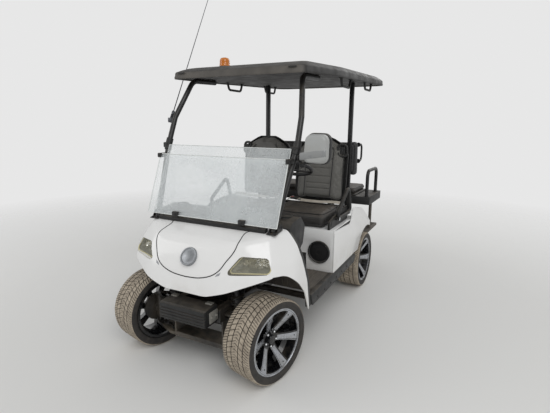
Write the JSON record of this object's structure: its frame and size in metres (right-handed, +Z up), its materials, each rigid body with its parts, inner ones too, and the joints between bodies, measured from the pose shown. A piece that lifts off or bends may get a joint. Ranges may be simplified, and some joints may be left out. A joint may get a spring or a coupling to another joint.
{
  "type": "electric golf cart",
  "caption": "Four-seat utility cart with roof, folding windshield, front bench and rear-facing rear bench that flips into a deck",
  "frame": {"origin": "on the ground under the middle of the bounding box", "axes": "+X is the cart's left side, the cart faces -Y, +Z is up"},
  "size_m": [1.4165, 2.7289, 2.6418],
  "materials": {
    "tyre_rubber": "dusty, worn",
    "wheel_metal": "machined spokes, black between",
    "body_white": "gloss, light scratches",
    "roof_plastic": "grained, dusty",
    "frame_black": "satin powder coat",
    "trim_plastic": "grained",
    "floor_mat": "ribbed, dusty",
    "seat_vinyl": "sewn vinyl",
    "clear_pane": "clear acrylic, hazed",
    "lamp_lens": "yellowed clear",
    "amber_lens": "clear amber",
    "red_lens": "clear red",
    "bright_chrome": "polished",
    "mirror_grey": "satin",
    "aerial_steel": "thin black-sleeved whip"
  },
  "bodies": {
    "chassis": {"battery_pack": "trim_plastic", "beacon_base": "trim_plastic", "beacon_dome": "amber_lens", "bumper": "trim_plastic", "cowl": "body_white", "dashboard": "trim_plastic", "emblem": "bright_chrome", "firewall": "trim_plastic", "floor": "floor_mat", "footrest": "floor_mat", "frame": "frame_black", "front_arms": "frame_black", "front_bridge": "frame_black", "front_cradle": "frame_black", "front_dampers": "frame_black", "front_seat_back": "seat_vinyl", "front_struts": "frame_black", "grab_hoops": "frame_black", "headlamps": "lamp_lens", "leaf_springs": "frame_black", "pedals": "frame_black", "rear_axle": "frame_black", "rear_dampers": "frame_black", "rear_deck": "trim_plastic", "rear_seat_back": "seat_vinyl", "rear_struts": "frame_black", "rocker_panels": "trim_plastic", "roof": "roof_plastic", "roof_handles": "frame_black", "seat_base": "body_white", "seat_frame": "frame_black", "seat_sides": "trim_plastic", "side_hoops": "frame_black", "side_mirror": "mirror_grey", "side_panel_left": "body_white", "side_panel_right": "body_white", "speakers": "trim_plastic", "steering_column": "frame_black", "tail_lamps": "red_lens", "whip_antenna": "aerial_steel", "windshield_fittings": "trim_plastic", "windshield_lower": "clear_pane", "windshield_upper": "clear_pane"},
    "wheel_front_left": {"tyre_front_left": "tyre_rubber", "rim_front_left": "wheel_metal"},
    "wheel_front_right": {"tyre_front_right": "tyre_rubber", "rim_front_right": "wheel_metal"},
    "wheel_rear_left": {"tyre_rear_left": "tyre_rubber", "rim_rear_left": "wheel_metal"},
    "wheel_rear_right": {"tyre_rear_right": "tyre_rubber", "rim_rear_right": "wheel_metal"},
    "hub_left": {"knuckle_left": "frame_black"},
    "hub_right": {"knuckle_right": "frame_black"},
    "track_rod": {"tie_rod": "frame_black"},
    "hand_wheel": {"steering_wheel": "trim_plastic"},
    "front_seat_lid": {"front_cushion": "seat_vinyl"},
    "rear_seat_lid": {"rear_cushion": "seat_vinyl"}
  },
  "joints": [
    {"name": "steer_left", "type": "hinge", "parent": "chassis", "child": "hub_left", "pos_m": [0.388, -1.087, 0.253], "axis": [0, 0, 1], "range_deg": [-15.5, 44.5]},
    {"name": "steer_right", "type": "hinge", "parent": "chassis", "child": "hub_right", "pos_m": [-0.388, -1.087, 0.253], "axis": [0, 0, 1], "range_deg": [-15.5, 44.5]},
    {"name": "tie_rod_eye", "type": "hinge", "parent": "hub_left", "child": "track_rod", "pos_m": [0.41053, -0.99987, 0.2], "axis": [0, 0, 1], "range_deg": [-44.5, 15.5]},
    {"name": "steering_wheel_turn", "type": "hinge", "parent": "chassis", "child": "hand_wheel", "pos_m": [0.28, -0.487, 1.195], "axis": [0, 0.3913, 0.9203], "range_deg": [-186, 534]},
    {"name": "wheel_front_left_spin", "type": "hinge", "parent": "hub_left", "child": "wheel_front_left", "pos_m": [0.388, -1.087, 0.253], "axis": [0.9681, -0.2504, 0], "continuous": true},
    {"name": "wheel_front_right_spin", "type": "hinge", "parent": "hub_right", "child": "wheel_front_right", "pos_m": [-0.388, -1.087, 0.253], "axis": [0.9681, -0.2504, 0], "continuous": true},
    {"name": "wheel_rear_left_spin", "type": "hinge", "parent": "chassis", "child": "wheel_rear_left", "pos_m": [0.495, 0.577, 0.253], "axis": [1, 0, 0], "continuous": true},
    {"name": "wheel_rear_right_spin", "type": "hinge", "parent": "chassis", "child": "wheel_rear_right", "pos_m": [-0.495, 0.577, 0.253], "axis": [1, 0, 0], "continuous": true},
    {"name": "front_cushion_lift", "type": "hinge", "parent": "chassis", "child": "front_seat_lid", "pos_m": [0, -0.342, 0.7453], "axis": [1, 0, 0], "range_deg": [0, 65]},
    {"name": "rear_cushion_flip", "type": "hinge", "parent": "chassis", "child": "rear_seat_lid", "pos_m": [0, 1.124, 0.8303], "axis": [-1, 0, 0], "range_deg": [0, 178]}
  ],
  "couplings": [
    {"joint": "steer_right", "follows": "steer_left", "ratio": 1},
    {"joint": "tie_rod_eye", "follows": "steer_left", "ratio": -1},
    {"joint": "steering_wheel_turn", "follows": "steer_left", "ratio": 12}
  ]
}
